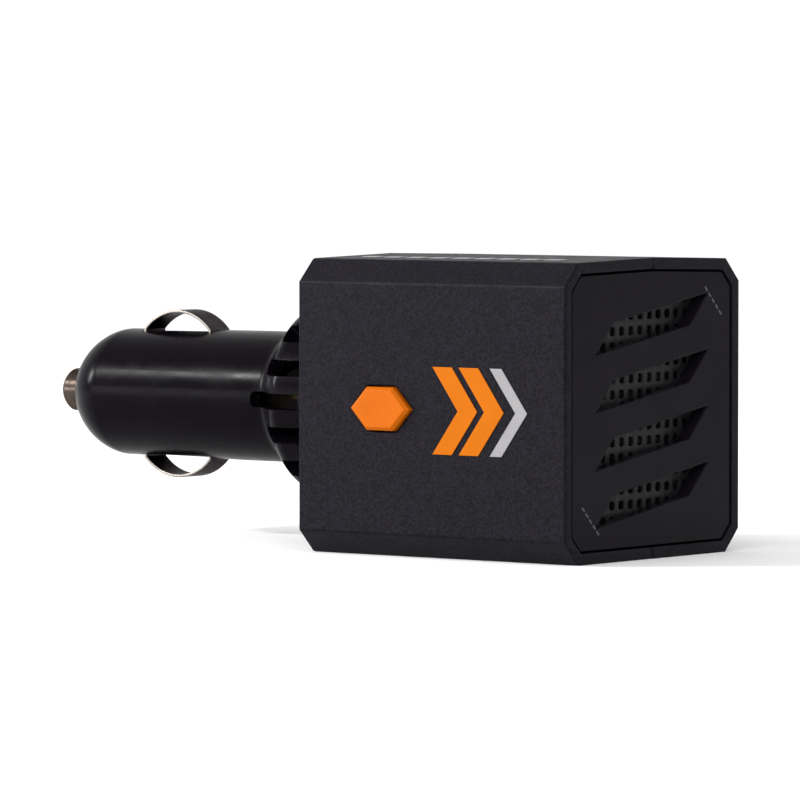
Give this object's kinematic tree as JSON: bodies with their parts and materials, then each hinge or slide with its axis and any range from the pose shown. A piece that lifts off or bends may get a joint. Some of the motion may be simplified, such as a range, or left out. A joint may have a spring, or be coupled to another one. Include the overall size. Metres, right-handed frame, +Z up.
{
  "type": "plug-in 12 volt vehicle unit",
  "caption": "Small eight-sided black box on a 12 volt vehicle plug, with a push button on its side, air slots in the neck, a vented front panel, a fan and a step-up inverter board.",
  "frame": {"origin": "on the plug axis at the shoulder where the straight wall of the plug starts to flare into the neck", "axes": "+X along the plug axis towards the front panel, +Z up, -Y towards the side that carries the button"},
  "size_m": [0.1201, 0.0476, 0.047],
  "materials": {
    "shell_black": "satin",
    "panel_black": "gloss",
    "plate_black": "matte",
    "plug_black": "semi-gloss",
    "orange_plastic": "semi-gloss",
    "orange_ink": "satin",
    "grey_ink": "satin",
    "nickel": "polished",
    "spring_steel": "polished",
    "screw_steel": "satin",
    "brass": "satin",
    "glass": "clear",
    "ivory_plastic": "satin",
    "phenolic_brown": "satin",
    "board_green": "satin",
    "ferrite": "matte",
    "tape_yellow": "satin",
    "sleeve_blue": "gloss",
    "copper": "satin",
    "chip_black": "matte",
    "aluminium": "satin",
    "ceramic": "matte",
    "wire_red": "satin",
    "wire_black": "satin",
    "fan_black": "satin"
  },
  "bodies": {
    "housing": {"left_shell": "shell_black", "right_shell": "shell_black", "housing_screws": "screw_steel", "front_panel": "panel_black", "vent_plate": "plate_black", "side_marks_orange": "orange_ink", "side_mark_grey": "grey_ink", "top_print": "grey_ink", "plug_barrel": "plug_black", "nose_cap": "plug_black", "tip_spring": "spring_steel", "ground_bracket": "brass", "fuse_holder": "phenolic_brown", "fuse_terminal": "brass", "positive_wire": "wire_red", "negative_wire": "wire_black", "main_board": "board_green", "board_screws": "screw_steel", "push_switch": "chip_black", "transformer_core": "ferrite", "transformer_winding": "tape_yellow", "capacitor_large": "sleeve_blue", "capacitor_small": "sleeve_blue", "switching_transistor": "chip_black", "heat_sink": "aluminium", "choke_coil": "copper", "control_chip": "chip_black", "fan_frame": "fan_black", "fan_stator": "copper", "fan_screws": "screw_steel", "fan_lead": "wire_red", "emitter_plate": "ceramic", "emitter_holder": "ivory_plastic", "emitter_leads": "wire_black"},
    "button": {"button_cap": "orange_plastic", "button_plunger": "ivory_plastic"},
    "centre_contact": {"tip_contact": "nickel", "fuse_glass": "glass", "fuse_cap_front": "nickel", "fuse_cap_rear": "nickel", "fuse_element": "nickel"},
    "top_strip": {"ground_contact_top": "spring_steel"},
    "bottom_strip": {"ground_contact_bottom": "spring_steel"},
    "fan_rotor": {"fan_rotor": "fan_black", "fan_magnet_ring": "ferrite", "fan_shaft": "screw_steel"}
  },
  "joints": [
    {"name": "button_press", "type": "slide", "parent": "housing", "child": "button", "axis": [0, 1, 0], "range_m": [0, 0.0008], "stiffness_N_per_m": 1500},
    {"name": "centre_contact_press", "type": "slide", "parent": "housing", "child": "centre_contact", "axis": [1, 0, 0], "range_m": [0, 0.003], "stiffness_N_per_m": 1200, "deforming": ["tip_spring"]},
    {"name": "top_strip_press", "type": "slide", "parent": "housing", "child": "top_strip", "axis": [0, 0, -1], "range_m": [0, 0.0034], "stiffness_N_per_m": 1500},
    {"name": "bottom_strip_press", "type": "slide", "parent": "housing", "child": "bottom_strip", "axis": [0, 0, 1], "range_m": [0, 0.0034], "stiffness_N_per_m": 1500},
    {"name": "fan_spin", "type": "hinge", "parent": "housing", "child": "fan_rotor", "pos_m": [0.0624, 0, 0], "axis": [1, 0, 0], "continuous": true}
  ]
}
